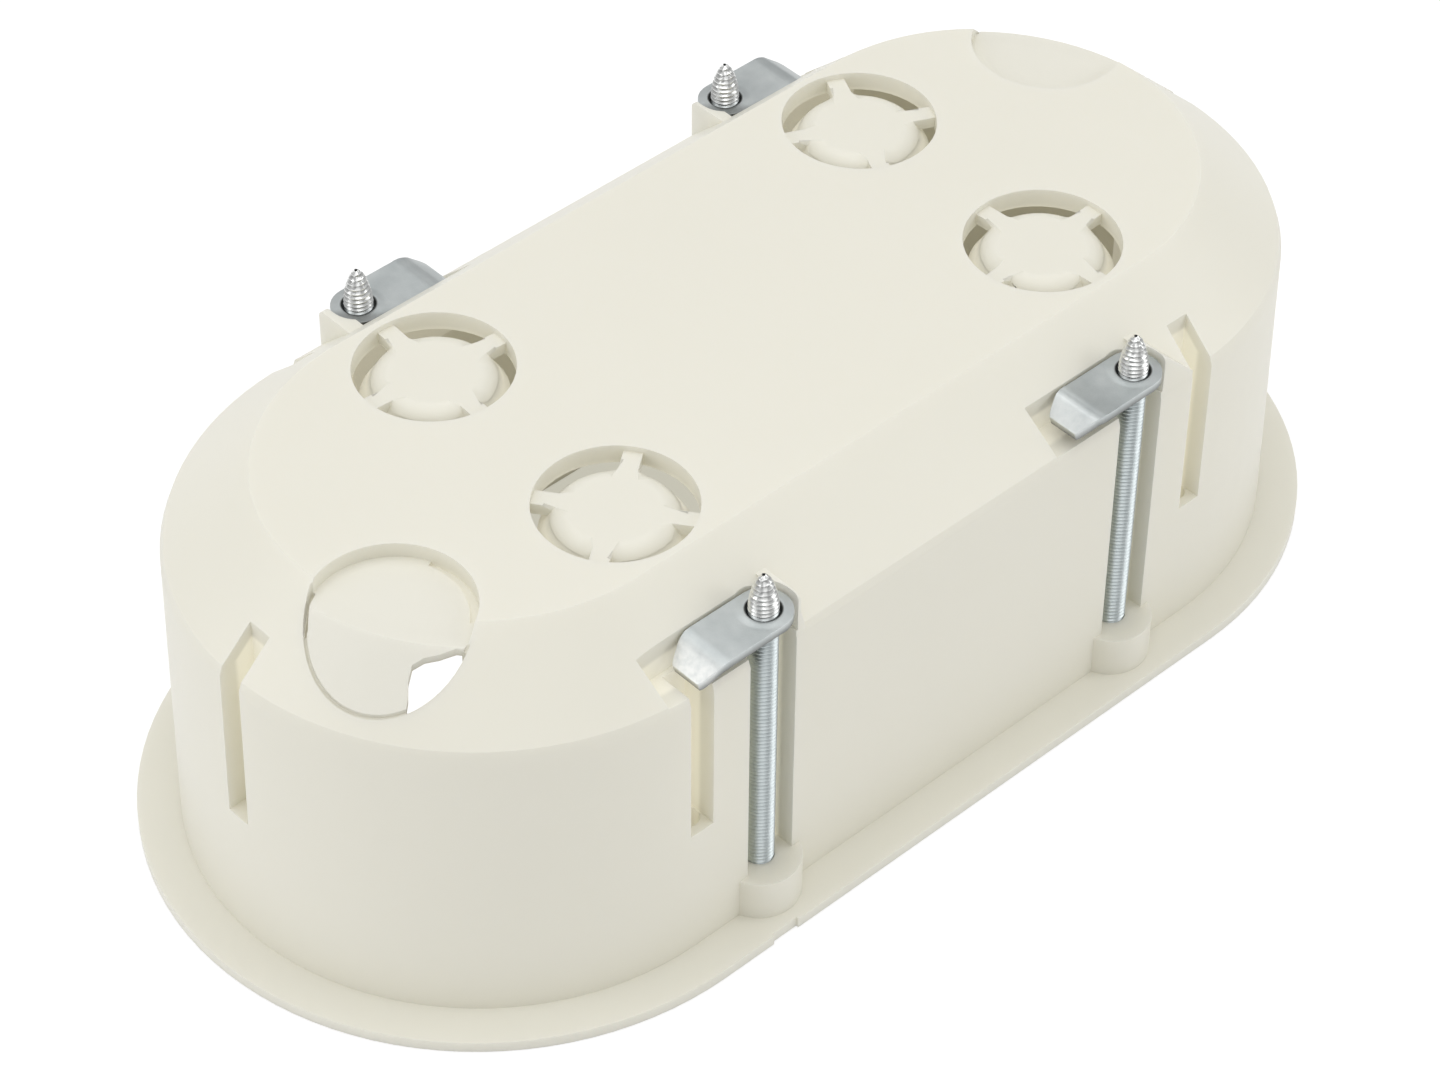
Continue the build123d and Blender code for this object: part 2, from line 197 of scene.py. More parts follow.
def make_surface_drift():
    """Slow drift of a colour between two tones, and a fine grain for roughness and height."""
    group, source, sink = new_group(
        "surface_drift",
        [
            ("Tone A", "NodeSocketColor", (1, 1, 1, 1)),
            ("Tone B", "NodeSocketColor", (1, 1, 1, 1)),
            ("Drift Scale", "NodeSocketFloat", 60.0),
            ("Grain Scale", "NodeSocketFloat", 3000.0),
            ("Roughness Low", "NodeSocketFloat", 0.4),
            ("Roughness High", "NodeSocketFloat", 0.5),
        ],
        [("Color", "NodeSocketColor"), ("Roughness", "NodeSocketFloat"), ("Height", "NodeSocketFloat")],
    )
    nodes, links = group.nodes, group.links
    place = nodes.new("ShaderNodeTexCoord")
    slow = nodes.new("ShaderNodeTexNoise")
    slow.inputs["Detail"].default_value = 3.0
    fine = nodes.new("ShaderNodeTexNoise")
    fine.inputs["Detail"].default_value = 2.0
    links.new(place.outputs["Object"], slow.inputs["Vector"])
    links.new(place.outputs["Object"], fine.inputs["Vector"])
    links.new(source.outputs["Drift Scale"], slow.inputs["Scale"])
    links.new(source.outputs["Grain Scale"], fine.inputs["Scale"])
    blend = colour_mix(
        nodes, links, slow.outputs["Fac"], source.outputs["Tone A"], source.outputs["Tone B"]
    )
    links.new(blend, sink.inputs["Color"])
    gloss = nodes.new("ShaderNodeMapRange")
    links.new(fine.outputs["Fac"], gloss.inputs["Value"])
    links.new(source.outputs["Roughness Low"], gloss.inputs["To Min"])
    links.new(source.outputs["Roughness High"], gloss.inputs["To Max"])
    links.new(gloss.outputs["Result"], sink.inputs["Roughness"])
    links.new(fine.outputs["Fac"], sink.inputs["Height"])
    return group


surface_drift = make_surface_drift()


def new_material(name):
    material = bpy.data.materials.new(name)
    material.use_nodes = True
    return material, material.node_tree.nodes, material.node_tree.links


def drifting_material(name, tones, scales, roughness, metallic, bump):
    """A Principled surface whose colour, gloss and grain come from the shared group."""
    material, nodes, links = new_material(name)
    surface = nodes["Principled BSDF"]
    surface.inputs["Metallic"].default_value = metallic
    drift = nodes.new("ShaderNodeGroup")
    drift.node_tree = surface_drift
    drift.inputs["Tone A"].default_value = (*tones[0], 1)
    drift.inputs["Tone B"].default_value = (*tones[1], 1)
    drift.inputs["Drift Scale"].default_value = scales[0]
    drift.inputs["Grain Scale"].default_value = scales[1]
    drift.inputs["Roughness Low"].default_value = roughness[0]
    drift.inputs["Roughness High"].default_value = roughness[1]
    links.new(drift.outputs["Color"], surface.inputs["Base Color"])
    links.new(drift.outputs["Roughness"], surface.inputs["Roughness"])
    relief = nodes.new("ShaderNodeBump")
    relief.inputs["Strength"].default_value = bump[0]
    relief.inputs["Distance"].default_value = bump[1]
    links.new(drift.outputs["Height"], relief.inputs["Height"])
    links.new(relief.outputs["Normal"], surface.inputs["Normal"])
    return material


moulded_plastic = drifting_material(
    "moulded_plastic",
    ((0.815, 0.795, 0.70), (0.84, 0.82, 0.725)),
    (40.0, 2500.0),
    (0.36, 0.46),
    0.0,
    (0.12, 0.00004),
)
zinc_plate = drifting_material(
    "zinc_plate",
    ((0.52, 0.58, 0.59), (0.66, 0.71, 0.72)),
    (900.0, 6000.0),
    (0.26, 0.4),
    1.0,
    (0.1, 0.00002),
)
pressed_steel = drifting_material(
    "pressed_steel",
    ((0.45, 0.49, 0.495), (0.74, 0.77, 0.765)),
    (350.0, 5000.0),
    (0.38, 0.54),
    1.0,
    (0.25, 0.00004),
)

# %% [markdown]
# ## Light that soaks through the moulding
#
# The walls are two millimetres of pale plastic, so daylight soaks through them and the inside
# of the box is never black. A short subsurface scatter softens the recesses, and the faces
# inside the box get a faint warm glow of their own, which stands for the light that many
# bounces in a closed pale box would build up.

# %% Soaked light
def math_node(nodes, links, operation, first, second=None):
    """One Math node; each input is a socket or a number."""
    node = nodes.new("ShaderNodeMath")
    node.operation = operation
    for socket, value in zip(node.inputs, (first, second)):
        if isinstance(value, (int, float)):
            socket.default_value = value
        elif value is not None:
            links.new(value, socket)
    return node.outputs["Value"]


def ramp(nodes, links, value, low, high):
    """0 at low and 1 at high, smooth between; low may be the larger of the two."""
    node = nodes.new("ShaderNodeMapRange")
    node.interpolation_type = "SMOOTHSTEP"
    links.new(value, node.inputs["Value"])
    node.inputs["From Min"].default_value = low
    node.inputs["From Max"].default_value = high
    return node.outputs["Result"]


half_straight = 35.45 * MM
inner_radius = 30.45 * MM
slope_foot = 37.0 * MM
slope_run = 1.06
back_underside = 43.65 * MM

nodes, links = moulded_plastic.node_tree.nodes, moulded_plastic.node_tree.links
plastic_surface = nodes["Principled BSDF"]
plastic_surface.inputs["Subsurface Weight"].default_value = 0.3
plastic_surface.inputs["Subsurface Radius"].default_value = (1.0, 0.97, 0.92)
plastic_surface.inputs["Subsurface Scale"].default_value = 0.0022
place = nodes.new("ShaderNodeTexCoord")
axes = nodes.new("ShaderNodeSeparateXYZ")
links.new(place.outputs["Object"], axes.inputs["Vector"])
along = math_node(nodes, links, "ABSOLUTE", axes.outputs["X"])
past_end = math_node(nodes, links, "SUBTRACT", along, half_straight)
past_end = math_node(nodes, links, "MAXIMUM", past_end, 0.0)
flat = nodes.new("ShaderNodeCombineXYZ")
links.new(past_end, flat.inputs["X"])
links.new(axes.outputs["Y"], flat.inputs["Y"])
reach = nodes.new("ShaderNodeVectorMath")
reach.operation = "LENGTH"
links.new(flat.outputs["Vector"], reach.inputs[0])
climb = math_node(nodes, links, "SUBTRACT", axes.outputs["Z"], slope_foot)
climb = math_node(nodes, links, "MAXIMUM", climb, 0.0)
climb = math_node(nodes, links, "MULTIPLY", climb, slope_run)
spread = math_node(nodes, links, "ADD", reach.outputs["Value"], climb)
within = ramp(nodes, links, spread, inner_radius + 0.3 * MM, inner_radius - 0.4 * MM)
below = ramp(nodes, links, axes.outputs["Z"], back_underside + 0.6 * MM, back_underside - 0.4 * MM)
inside = math_node(nodes, links, "MULTIPLY", within, below)
warm_glow = (1.0, 0.95, 0.79)
tint = colour_mix(nodes, links, inside, (0, 0, 0), warm_glow)
links.new(tint, plastic_surface.inputs["Emission Color"])
plastic_surface.inputs["Emission Strength"].default_value = 0.16
print("plastic nodes:", len(nodes))

# %% [markdown]
# ## The moulding
#
# The frame's box has the right form, but its knockout discs end in a hard edge, and a real
# mould leaves a soft shoulder there. So a merged copy of the box takes its place, and only the
# top edges of the four discs are bevelled. A bevel over the whole box would be simpler, but it
# would close the fine grooves. The flat faces keep an even shade, because the normals are
# weighted by the size of the faces round them.

# %% Soft shoulders on the knockout discs
knockout_x = 30.0
knockout_y = 13.8
disc_top = 45.2
disc_shoulder = 5.9
disc_reach = 8.35
below_discs = 42.0
shoulder_width = 1.3

shell = copy_of_node("box_shell", "moulded_box", flatten=False)


def disc_radius(co):
    """Distance in mm from the axis of the nearest knockout."""
    return math.hypot(abs(co.x) / MM - knockout_x, abs(co.y) / MM - knockout_y)


def on_disc_edge(co, index):
    """True on the rim of the flat top of a knockout disc."""
    return abs(co.z / MM - disc_top) < 0.02 and abs(disc_radius(co) - disc_shoulder) < 0.06


select_points(shell, lambda co, index: co.z > below_discs * MM and disc_radius(co) < disc_reach)
bpy.ops.mesh.dissolve_limited(angle_limit=FLAT_ANGLE)
select_points(shell, on_disc_edge)
picked = [point for point in shell.data.vertices if on_disc_edge(point.co, point.index)]
bpy.ops.mesh.bevel(offset=shoulder_width * MM, segments=5, affect="EDGES", clamp_overlap=False)
make_active(shell)
bpy.ops.object.shade_smooth_by_angle(angle=math.radians(25))
level = shell.modifiers.new("level", "WEIGHTED_NORMAL")
level.keep_sharp = True
level.weight = 90
apply_all(shell)
shell.data.materials.clear()
shell.data.materials.append(moulded_plastic)
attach(shell, "box")
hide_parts("box_shell")
print("disc rim points:", len(picked), "box faces:", len(shell.data.polygons))

# %% [markdown]
# ## Threaded screws
#
# Each screw is a long wire with a rolled thread and a pointed end. A thread is one small ridge
# wound up the shaft, so a single ridge profile is drawn and the Screw modifier winds it. A
# stack of rings would be simpler, but its ridges would never climb, and that shows at the tip.

# %% Ridge profile
corners = ("near_left", "near_right", "far_left", "far_right")
thread_pitch = 0.5
core_radius = 1.35
ridge_height = 0.23
thread_foot = 1.9
thread_turns = 89
thread_steps = 20
thread_start = 2.45
screw_tip = 45.75

clear_selection()
bpy.ops.mesh.primitive_plane_add(size=0.5 * MM, location=(0, 0, 0))
thread = bpy.context.object
thread.name = "thread_master"
bpy.ops.object.mode_set(mode="EDIT")
bpy.ops.mesh.merge(type="CENTER")
bpy.ops.transform.translate(value=(core_radius * MM, 0, thread_foot * MM))
for out, up in ((0, 0.06), (ridge_height, 0.18), (0, 0.06), (-ridge_height, 0.20)):
    bpy.ops.mesh.extrude_region_move(TRANSFORM_OT_translate={"value": (out * MM, 0, up * MM)})
bpy.ops.object.mode_set(mode="OBJECT")
print("ridge profile points:", len(thread.data.vertices))

# %% Wind the ridge up the shaft
wind = thread.modifiers.new("wind", "SCREW")
wind.axis = "Z"
wind.angle = 2 * math.pi
wind.screw_offset = thread_pitch * MM
wind.iterations = thread_turns
wind.steps = thread_steps
wind.render_steps = thread_steps
apply_all(thread)
bpy.ops.object.mode_set(mode="EDIT")
bpy.ops.mesh.select_all(action="SELECT")
bpy.ops.mesh.remove_doubles(threshold=0.01 * MM)
bpy.ops.mesh.select_all(action="SELECT")
bpy.ops.mesh.bisect(
    plane_co=(0, 0, screw_tip * MM), plane_no=(0, 0, 1), use_fill=True, clear_outer=True
)
bpy.ops.mesh.select_all(action="SELECT")
bpy.ops.mesh.bisect(
    plane_co=(0, 0, thread_start * MM), plane_no=(0, 0, 1), use_fill=True, clear_inner=True
)
bpy.ops.mesh.select_all(action="SELECT")
bpy.ops.mesh.normals_make_consistent(inside=False)
bpy.ops.object.mode_set(mode="OBJECT")
print("thread points:", len(thread.data.vertices), "height:", thread.dimensions.z)

# %% [markdown]
# The end of the screw narrows to a blunt point over its last four millimetres. The points are
# drawn in towards the axis in many small steps. Core and ridge are drawn in by their own
# shares, so the thread keeps its depth almost to the tip. A colour attribute marks the bottom
# of the thread in red, where painted shade goes, and the brighter end in green, for the zinc to use.
#
# A known fault is left here: the mesh is not closed. Unless it is given a smaller threshold,
# bisect takes every point within 0.1 mm of its plane as lying on it, and the steps of this
# thread are finer than that. So under the head and at the tip some short edges stay open and a
# few faces are turned the wrong way. It was found too late to be mended.

# %% Point of the screw
tip_outline = ((5.0, 1.58), (4.2, 1.58), (3.6, 1.56), (3.0, 1.48), (2.4, 1.37), (1.8, 1.22))
tip_outline += ((1.2, 1.02), (0.6, 0.74), (0.3, 0.53), (0.0, 0.24))
crest_radius = core_radius + ridge_height
taper_length = 4.8
taper_steps = 40
step_margin = 0.06


def crest_at(depth):
    """Radius over the ridges at that depth under the tip."""
    for (low, wide), (high, narrow) in zip(tip_outline, tip_outline[1:]):
        if high <= depth <= low:
            return narrow + (wide - narrow) * (depth - high) / (low - high)
    return crest_radius


def core_at(depth):
    """Radius between the ridges at that depth under the tip."""
    crest = crest_at(depth)
    return max(crest - ridge_height, 0.5 * crest)


on_ridge = {
    point.index
    for point in thread.data.vertices
    if math.hypot(point.co.x, point.co.y) > (core_radius + 0.5 * ridge_height) * MM
}
for kind, radius_at in (("ridge", crest_at), ("core", core_at)):
    radius_now = radius_at(taper_length)
    for step in range(1, taper_steps + 1):
        depth = taper_length * (1 - step / taper_steps)
        select_points(
            thread,
            lambda co, index: co.z > (screw_tip - depth - step_margin) * MM
            and (index in on_ridge) == (kind == "ridge"),
        )
        share = radius_at(depth) / radius_now
        bpy.ops.transform.resize(value=(share, share, 1), center_override=(0, 0, 0))
        radius_now *= share
    print(kind, "radius at the tip:", round(radius_now, 3))
make_active(thread)
bpy.ops.object.shade_smooth_by_angle(angle=math.radians(32))

brighter_tip_from = 40.8
brighter_tip_run = 0.8
blunt_end = 0.25
# red marks the bottom of the thread, where painted shade goes; green marks the brighter end
groove = thread.data.color_attributes.new("groove", "FLOAT_COLOR", "POINT")
for point, shade in zip(thread.data.vertices, groove.data):
    at_end = point.co.z > (screw_tip - blunt_end) * MM
    deep = 0.0 if at_end or point.index in on_ridge else 1.0
    near_tip = min(1.0, max(0.0, (point.co.z / MM - brighter_tip_from) / brighter_tip_run))
    shade.color = (deep, near_tip, 0, 1)
print("points at the bottom of the thread:", len(thread.data.vertices) - len(on_ridge))

# %% [markdown]
# The end of the screw is brighter than its shaft, and the bottom of the thread is dull and dark:
# painted shade, strongest near the end. Both come from the marks on the thread, which stay
# sharper on such small ridges than a shade mask worked out in the shader would.

# %% Painted shade in the grooves and a bright point
nodes, links = zinc_plate.node_tree.nodes, zinc_plate.node_tree.links
zinc_surface = nodes["Principled BSDF"]
marks = nodes.new("ShaderNodeVertexColor")
marks.layer_name = "groove"
masks = nodes.new("ShaderNodeSeparateColor")
links.new(marks.outputs["Color"], masks.inputs["Color"])
brighter_tip_zinc = (0.86, 0.87, 0.86)
groove_shade_zinc = (0.13, 0.13, 0.125)
drift = nodes["Group"]
brighter_tip = colour_mix(nodes, links, masks.outputs["Green"], drift.outputs["Color"], brighter_tip_zinc)
# painted shade: the bottom of the thread is darkened, more strongly towards the end
depth = math_node(nodes, links, "MULTIPLY", masks.outputs["Green"], 0.34)
depth = math_node(nodes, links, "ADD", depth, 0.16)
depth = math_node(nodes, links, "MULTIPLY", depth, masks.outputs["Red"])
shadowed = colour_mix(nodes, links, depth, brighter_tip, groove_shade_zinc)
links.new(shadowed, zinc_surface.inputs["Base Color"])
gloss = math_node(nodes, links, "MULTIPLY", masks.outputs["Green"], -0.1)
gloss = math_node(nodes, links, "ADD", gloss, drift.outputs["Roughness"])
links.new(gloss, zinc_surface.inputs["Roughness"])
print("zinc nodes:", len(nodes))

# %% [markdown]
# The heads are the frame's own pan heads with their cross, cut off just above the underside and
# given softened edges. Head and thread are joined, and the joined screw takes the node's place.
# On three of the heads some faces of the underside are turned the wrong way, which was also
# found too late.

# %% Four screws
head_cut = 2.55
claw_screws = {}
for corner in corners:
    node = "claw_screw_" + corner
    low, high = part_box(node)
    axis_x, axis_y = (low[0] + high[0]) / 2, (low[1] + high[1]) / 2
    head = copy_of_node(node, "head_" + corner)
    bpy.ops.object.mode_set(mode="EDIT")
    bpy.ops.mesh.select_all(action="SELECT")
    bpy.ops.mesh.bisect(
        plane_co=(0, 0, head_cut * MM), plane_no=(0, 0, 1), use_fill=True, clear_outer=True
    )
    bpy.ops.object.mode_set(mode="OBJECT")
    soften = head.modifiers.new("soften", "BEVEL")
    soften.width = 0.15 * MM
    soften.segments = 2
    soften.limit_method = "ANGLE"
    soften.angle_limit = math.radians(40)
    apply_all(head)
    bpy.ops.object.shade_smooth_by_angle(angle=math.radians(35))
    shaft = thread.copy()
    shaft.data = thread.data.copy()
    bpy.context.scene.collection.objects.link(shaft)
    make_active(shaft)
    bpy.ops.transform.translate(value=(axis_x, axis_y, 0))
    settle(shaft)
    clear_selection()
    head.select_set(True)
    shaft.select_set(True)
    bpy.context.view_layer.objects.active = head
    bpy.ops.object.join()
    screw = bpy.context.object
    screw.name = "threaded_screw_" + corner
    screw.data.name = screw.name
    screw.data.materials.clear()
    screw.data.materials.append(zinc_plate)
    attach(screw, "screw_" + corner)
    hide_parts(node)
    claw_screws[corner] = screw
bpy.data.objects.remove(thread, do_unlink=True)
print("screws:", {corner: len(piece.data.polygons) for corner, piece in claw_screws.items()})

# %% [markdown]
# ## Claws
#
# A claw is stamped from one millimetre steel, bent down at its end and tumbled, so its bend is
# round and its edges are soft. It is modelled as it is made: a flat sheet grows from the rim
# of its hole, folds down over several short strips, and then gets its thickness.

# %% Flat sheet round the hole
claw_top = 41.2
claw_half_width = 3.0
hole_radius = 1.86
bend_from = 6.95
bend_angle = 40.0
bend_strips = 7
strip_length = 0.27
lip_height = 0.09
arm_root = 3.4
first_reach = 3.2
near_axis = 0.01

clear_selection()
bpy.ops.mesh.primitive_circle_add(
    vertices=32, radius=hole_radius * MM, location=(0, 0, (claw_top + lip_height) * MM)
)
claw_master = bpy.context.object
claw_master.name = "claw_master"
settle(claw_master)
bpy.ops.object.mode_set(mode="EDIT")
bpy.ops.mesh.select_all(action="SELECT")
lip_rings = ((hole_radius, 2.02, 0.0), (2.02, 2.25, 0.0), (2.25, 2.6, -lip_height))
lip_rings += ((2.6, claw_half_width, 0.0),)
for radius_from, radius_to, rise in lip_rings:
    bpy.ops.mesh.extrude_region_move(TRANSFORM_OT_translate={"value": (0, 0, rise * MM)})
    share = radius_to / radius_from
    bpy.ops.transform.resize(value=(share, share, 1), center_override=(0, 0, 0))
bpy.ops.object.mode_set(mode="OBJECT")
print("ring of the claw:", len(claw_master.data.vertices), "points")

# %% Arm, bend and tip
rim_radius = (claw_half_width - 0.02) * MM


def on_open_half(co, index):
    """True on the half of the rim that faces the arm."""
    return co.x < near_axis * MM and math.hypot(co.x, co.y) > rim_radius


select_points(claw_master, on_open_half)
bpy.ops.mesh.extrude_region_move(TRANSFORM_OT_translate={"value": (-first_reach * MM, 0, 0)})
bpy.ops.transform.resize(value=(0, 1, 1), center_override=(-arm_root * MM, 0, 0))
arm_step = ((arm_root - bend_from) * MM, 0, 0)
bpy.ops.mesh.extrude_region_move(TRANSFORM_OT_translate={"value": arm_step})
half_width = claw_half_width
x_now, z_now = -bend_from, claw_top
strip_plan = [
    (strip_length, bend_angle * (strip + 0.5) / bend_strips, 0.06 if strip > 2 else 0.0)
    for strip in range(bend_strips)
]
strip_plan += [(1.5, bend_angle, 0.58), (0.45, bend_angle, 0.22), (0.25, bend_angle, 0.2)]
for length, angle, narrowing in strip_plan:
    step = Vector((-math.cos(math.radians(angle)), 0, -math.sin(math.radians(angle)))) * length
    bpy.ops.mesh.extrude_region_move(TRANSFORM_OT_translate={"value": tuple(step * MM)})
    share = (half_width - narrowing) / half_width
    bpy.ops.transform.resize(value=(1, share, 1), center_override=(0, 0, 0))
    half_width -= narrowing
    x_now += step.x
    z_now += step.z
bpy.ops.object.mode_set(mode="OBJECT")
print("claw tip at", round(x_now, 2), "drop", round(claw_top - z_now, 2))
print("half width of the tip", round(half_width, 2))

# %% Thickness and soft edges
claw_thickness = 1.0
thick = claw_master.modifiers.new("thick", "SOLIDIFY")
thick.thickness = claw_thickness * MM
thick.offset = -1.0
thick.use_even_offset = True
make_active(claw_master)
bpy.ops.object.mode_set(mode="EDIT")
bpy.ops.mesh.select_all(action="SELECT")
bpy.ops.mesh.normals_make_consistent(inside=False)
bpy.ops.object.mode_set(mode="OBJECT")
if claw_master.data.polygons[0].normal.z < 0:
    bpy.ops.object.mode_set(mode="EDIT")
    bpy.ops.mesh.flip_normals()
    bpy.ops.object.mode_set(mode="OBJECT")
apply_all(claw_master)
fold_slope = 0.6
hole_closing = 0.75
front_shift = 0.3


def at_hole_bottom(co, index):
    """True on the lower rings of the hole, which close on the thread."""
    return co.z < (claw_top - 0.8) * MM and math.hypot(co.x, co.y) < 2.05 * MM


def under_tip(co, index):
    """True on the underside of the last part of the tip."""
    middle = claw_top + (co.x / MM + bend_from) * fold_slope - 0.45
    return co.x < -9.0 * MM and co.z < middle * MM


select_points(claw_master, at_hole_bottom)
bpy.ops.transform.resize(value=(hole_closing, hole_closing, 1), center_override=(0, 0, 0))
select_points(claw_master, under_tip)
bpy.ops.transform.translate(value=(-front_shift * MM, 0, -front_shift * MM))
bpy.ops.object.mode_set(mode="OBJECT")
tumble = claw_master.modifiers.new("tumble", "BEVEL")
tumble.width = 0.22 * MM
tumble.segments = 3
tumble.limit_method = "ANGLE"
tumble.angle_limit = math.radians(50)
apply_all(claw_master)
bpy.ops.object.shade_smooth_by_angle(angle=math.radians(45))
low_point = min(point.co.z for point in claw_master.data.vertices) / MM
print("claw:", len(claw_master.data.polygons), "faces, low", round(low_point, 2))

# %% [markdown]
# The end of a claw is rubbed bright where it grips the board. Its hole is darkened, partly for
# grime and partly as painted shade in the gap round the screw, and its lower edges and underside
# are darkened as painted shade. Both are marked in a colour attribute, red for worn and green for
# grime and painted shade. A painted attribute follows the bend, which a mask by position alone
# would not.

# %% Worn places, grime and painted shade
wear_from = 7.8
wear_run = 1.2
front_from = 9.6
under_slope = 0.61
side_start = 0.12
side_run = 0.3
front_run = 0.15
hole_grime_and_shade = 0.88
under_edge_shade = 0.75
hole_edge = 1.9
wear_grime_and_shade = claw_master.data.color_attributes.new("wear_grime_and_shade", "FLOAT_COLOR", "POINT")
for point, shade in zip(claw_master.data.vertices, wear_grime_and_shade.data):
    out = -point.co.x / MM
    drop = claw_top - point.co.z / MM
    worn = min(1.0, max(0.0, (out - wear_from) / wear_run))
    fold = max(0.0, out - bend_from)
    at_front = out > front_from
    # painted shade: the lower sides and the underside are darkened by how far they lie below the top
    # face
    below = drop - under_slope * fold - (0.0 if at_front else side_start)
    under = min(1.0, max(0.0, below / (front_run if at_front else side_run)))
    # the hole is darkened for grime and for painted shade in the gap round the screw
    in_hole = hole_grime_and_shade if math.hypot(point.co.x, point.co.y) < hole_edge * MM else 0.0
    shade.color = (worn, max(in_hole, under_edge_shade * under), 0, 1)
print("marked points:", len(wear_grime_and_shade.data))

# %% Burnished steel, darkened by grime and painted shade
nodes, links = pressed_steel.node_tree.nodes, pressed_steel.node_tree.links
steel_surface = nodes["Principled BSDF"]
marks = nodes.new("ShaderNodeVertexColor")
marks.layer_name = "wear_grime_and_shade"
scratch = nodes.new("ShaderNodeTexNoise")
scratch.inputs["Scale"].default_value = 1500.0
place = nodes.new("ShaderNodeTexCoord")
links.new(place.outputs["Object"], scratch.inputs["Vector"])
masks = nodes.new("ShaderNodeSeparateColor")
links.new(marks.outputs["Color"], masks.inputs["Color"])
patchy = math_node(nodes, links, "MULTIPLY", scratch.outputs["Fac"], 1.6)
patchy = math_node(nodes, links, "MULTIPLY", patchy, masks.outputs["Red"])
bright_steel = (0.84, 0.85, 0.84)
grime_and_shade_steel = (0.09, 0.09, 0.085)
bright = colour_mix(nodes, links, patchy, nodes["Group"].outputs["Color"], bright_steel)
# green darkens the steel: grime in the hole, and painted shade in the hole and under the edges
grime_and_shade = colour_mix(nodes, links, masks.outputs["Green"], bright, grime_and_shade_steel)
links.new(grime_and_shade, steel_surface.inputs["Base Color"])
print("steel nodes:", len(nodes))

# %% [markdown]
# The four claws are copies of one, each with its own mesh. Pressed parts are never quite alike,
# so three tips are lifted by the little that sets them apart, and wear differs too. On the two far
# claws, the side of the ring that faces the front left is darkened as painted shade.

# %% Four claws
lift_steps = 8
lift_from = 7.2
lift_spacing = 0.32
end_shade_run = 2.2
end_shade_limit = 0.6
tip_lift = {"near_left": (0.0, 0.0), "near_right": (0.01, 0.085)}
tip_lift |= {"far_left": (0.03, 0.055), "far_right": (0.02, 0.035)}
tip_wear = {"near_left": 1.0, "near_right": 0.4, "far_left": 0.0, "far_right": 0.0}
no_end_shade = 9.0
end_shade_start = {"near_left": no_end_shade, "near_right": no_end_shade, "far_left": 1.4, "far_right": 1.4}
claws = {}
for corner in corners:
    node = "claw_" + corner
    low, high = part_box("claw_screw_" + corner)
    claw = claw_master.copy()
    claw.data = claw_master.data.copy()
    claw.name = "stamped_claw_" + corner
    claw.data.name = claw.name
    bpy.context.scene.collection.objects.link(claw)
    make_active(claw)
    out, up = tip_lift[corner]
    for step in range(lift_steps):
        beyond = -(lift_from + lift_spacing * step) * MM
        select_points(claw, lambda co, index: co.x < beyond)
        bpy.ops.transform.translate(value=(-out * MM, 0, up * MM))
        bpy.ops.object.mode_set(mode="OBJECT")
    for point, shade in zip(claw.data.vertices, claw.data.color_attributes["wear_grime_and_shade"].data):
        # painted shade on the far claws, on the side of the ring that turns to the front left
        lean = (point.co.x + point.co.y) / MM
        end_shade = min(end_shade_limit, max(0.0, (lean - end_shade_start[corner]) / end_shade_run))
        shade.color = (tip_wear[corner] * shade.color[0], max(shade.color[1], end_shade), 0, 1)
    if corner.startswith("far"):
        bpy.ops.transform.rotate(value=math.pi, orient_axis="Z", center_override=(0, 0, 0))
    bpy.ops.transform.translate(value=((low[0] + high[0]) / 2, (low[1] + high[1]) / 2, 0))
    settle(claw)
    claw.data.materials.clear()
    claw.data.materials.append(pressed_steel)
    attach(claw, node)
    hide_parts(node)
    claws[corner] = claw
bpy.data.objects.remove(claw_master, do_unlink=True)
print("claws:", {corner: len(piece.data.polygons) for corner, piece in claws.items()})

# %% [markdown]
# ## Floor and light
#
# The product stands on a plain white sweep under large soft lamps. To the camera the floor
# glows a little, so it reads as white paper and still takes the shadow of the flange. Two round
# patches of the floor are given: the one seen through the torn knockout is brighter, and
# the one seen past the disc next to it is dimmer and warmer. They lie where the lines of sight
# of this one camera meet the paper. From any other side, what shows through those openings is
# not a true picture of the light in the box.

# %% Floor
clear_selection()
bpy.ops.mesh.primitive_plane_add(size=8.0, location=(0, 0, -0.0001))
floor = bpy.context.object
floor.name = "studio_floor"
floor_paint, nodes, links = new_material("floor_paint")
paint = nodes["Principled BSDF"]
paint.inputs["Roughness"].default_value = 0.9
paint.inputs["Specular IOR Level"].default_value = 0.0
rays = nodes.new("ShaderNodeLightPath")
seen = math_node(
    nodes, links, "MAXIMUM", rays.outputs["Is Camera Ray"], rays.outputs["Is Glossy Ray"]
)
place = nodes.new("ShaderNodeTexCoord")


def round_patch(centre, outer, inner):
    """A mask of the floor: 1 within the inner radius of the centre, 0 beyond the outer."""
    away = nodes.new("ShaderNodeVectorMath")
    away.operation = "DISTANCE"
    links.new(place.outputs["Object"], away.inputs[0])
    away.inputs[1].default_value = centre
    return ramp(nodes, links, away.outputs["Value"], outer, inner)


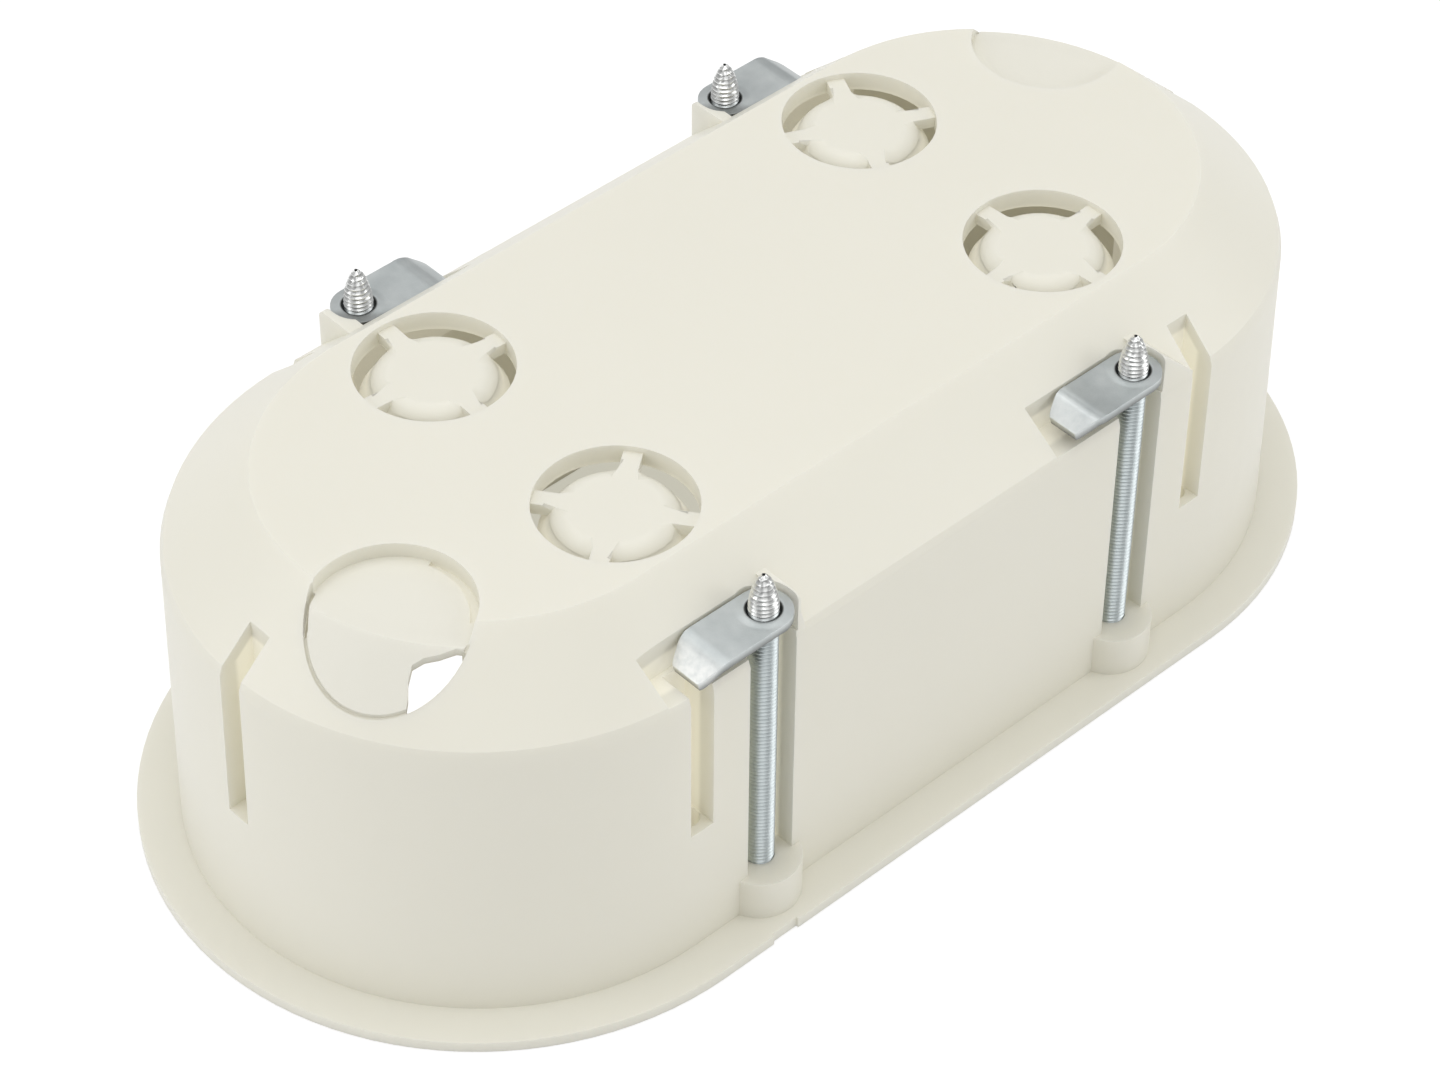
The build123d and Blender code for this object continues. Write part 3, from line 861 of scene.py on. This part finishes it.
paper_glow = 0.72
torn_hole_glow = 0.3
disc_dimming = 0.26
white = (1.0, 1.0, 1.0)
warm_white = (1.0, 0.98, 0.84)
bounce_tone = (0.9, 0.9, 0.9)
seen_tone = (0.36, 0.36, 0.36)

lit_patch = round_patch((-29.5 * MM, 16.0 * MM, 0), 12.0 * MM, 10.0 * MM)
dim_patch = round_patch((3.0 * MM, 21.0 * MM, 0), 17.0 * MM, 13.0 * MM)
links.new(
    colour_mix(nodes, links, dim_patch, white, warm_white), paint.inputs["Emission Color"]
)
lit_patch = math_node(nodes, links, "MULTIPLY", lit_patch, torn_hole_glow)
dim_patch = math_node(nodes, links, "MULTIPLY", dim_patch, disc_dimming)
glow = math_node(nodes, links, "SUBTRACT", lit_patch, dim_patch)
glow = math_node(nodes, links, "ADD", glow, paper_glow)
glow = math_node(nodes, links, "MULTIPLY", glow, seen)
links.new(glow, paint.inputs["Emission Strength"])
links.new(
    colour_mix(nodes, links, seen, bounce_tone, seen_tone), paint.inputs["Base Color"]
)
floor.data.materials.append(floor_paint)
print("floor nodes:", len(nodes))

# %% Lamps and world
def soft_lamp(name, place, size, power, target=(0, 0, 0.02)):
    data = bpy.data.lights.new(name, "AREA")
    data.shape = "RECTANGLE"
    data.size, data.size_y = size
    data.energy = power
    lamp = bpy.data.objects.new(name, data)
    bpy.context.scene.collection.objects.link(lamp)
    lamp.location = place
    away = Vector(place) - Vector(target)
    lamp.rotation_euler = away.to_track_quat("Z", "Y").to_euler()
    return lamp


soft_lamp("top_lamp", (0.0, 0.1, 1.2), (1.2, 1.2), 6.0)
soft_lamp("front_lamp", (-0.5, -0.7, 1.0), (0.8, 0.8), 1.2)
soft_lamp("left_lamp", (-1.1, 0.5, 0.6), (0.9, 0.8), 3.4)
soft_lamp("right_lamp", (0.9, -0.9, 0.6), (0.9, 0.8), 3.4)

world = bpy.data.worlds.new("studio_world")
bpy.context.scene.world = world
world.use_nodes = True
background = world.node_tree.nodes["Background"]
background.inputs["Color"].default_value = (1, 1, 1, 1)
background.inputs["Strength"].default_value = 0.5
